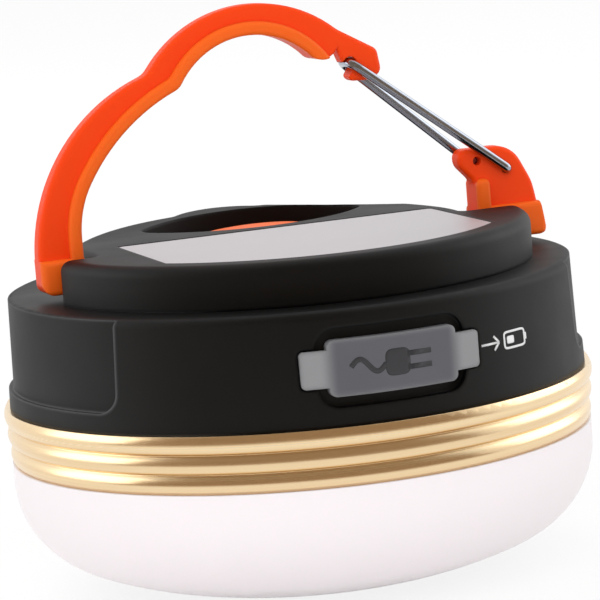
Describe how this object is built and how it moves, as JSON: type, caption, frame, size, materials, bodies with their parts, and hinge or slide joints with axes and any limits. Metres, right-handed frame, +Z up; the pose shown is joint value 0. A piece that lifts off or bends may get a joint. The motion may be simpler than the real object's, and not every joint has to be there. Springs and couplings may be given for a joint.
{
  "type": "camping lantern",
  "caption": "Round rechargeable camping lantern with a milky dome, gold trim ring, dark housing, push button, covered charging ports and a folding snap-hook handle.",
  "frame": {"origin": "centre of the dome's resting flat, under the lantern's axis", "axes": "+Z up from the dome to the hook, X along the handle's axle, -Y towards the charging port"},
  "size_m": [0.088, 0.088, 0.0856],
  "materials": {
    "milky_plastic": "milky satin diffuser",
    "gold_metal": "satin champagne gold, fine turned grain",
    "soft_black": "matte soft-touch charcoal",
    "orange_plastic": "satin orange moulding",
    "bright_wire": "polished spring wire",
    "silver_plate": "satin silver plate",
    "grey_silicone": "soft grey silicone",
    "black_rubber": "soft black seal",
    "steel": "plain bright steel",
    "board_green": "solder-masked board",
    "board_white": "white board",
    "dark_part": "moulded component",
    "cell_wrap": "shrink-wrapped cell",
    "white_plastic": "white moulding",
    "led_yellow": "phosphor-coated chip",
    "red_lead": "insulated lead",
    "black_lead": "insulated lead"
  },
  "bodies": {
    "lantern_body": {"diffuser_dome": "milky_plastic", "trim_ring": "gold_metal", "dome_gasket": "black_rubber", "body_housing": "soft_black", "end_cap": "soft_black", "axle_clamps": "soft_black", "label_plate": "silver_plate", "magnets": "steel", "switch_body": "dark_part", "input_socket": "steel", "output_socket": "steel", "main_board": "board_green", "board_parts": "dark_part", "battery_cell": "cell_wrap", "battery_tabs": "steel", "battery_cradle": "white_plastic", "chassis_plate": "white_plastic", "led_board": "board_white", "led_chips": "led_yellow", "lead_positive": "red_lead", "lead_negative": "black_lead", "led_leads": "red_lead", "chassis_screws": "steel", "cap_screws": "steel", "board_screws": "steel", "led_board_screws": "steel"},
    "handle": {"handle": "orange_plastic"},
    "gate": {"gate_wire": "bright_wire"},
    "button": {"power_button": "orange_plastic", "switch_plunger": "dark_part"},
    "input_cover": {"input_cover": "grey_silicone"},
    "output_cover": {"output_cover": "grey_silicone"}
  },
  "joints": [
    {"name": "handle_fold", "type": "hinge", "parent": "lantern_body", "child": "handle", "pos_m": [0, 0, 0.0487], "axis": [1, 0, 0], "range_deg": [-90, 0]},
    {"name": "gate_swing", "type": "hinge", "parent": "handle", "child": "gate", "pos_m": [0.0356, 0, 0.057], "axis": [0, -1, 0], "range_deg": [0, 22], "stiffness_Nm_per_rad": 0.05, "springref_deg": -5.73},
    {"name": "button_press", "type": "slide", "parent": "lantern_body", "child": "button", "axis": [0, 0, -1], "range_m": [0, 0.0008], "stiffness_N_per_m": 1500},
    {"name": "input_cover_swing", "type": "hinge", "parent": "lantern_body", "child": "input_cover", "pos_m": [-0.01315, -0.04112, 0.03725], "axis": [0, 0, -1], "range_deg": [0, 100]},
    {"name": "output_cover_swing", "type": "hinge", "parent": "lantern_body", "child": "output_cover", "pos_m": [0.01315, 0.04112, 0.03725], "axis": [0, 0, -1], "range_deg": [0, 100]}
  ]
}
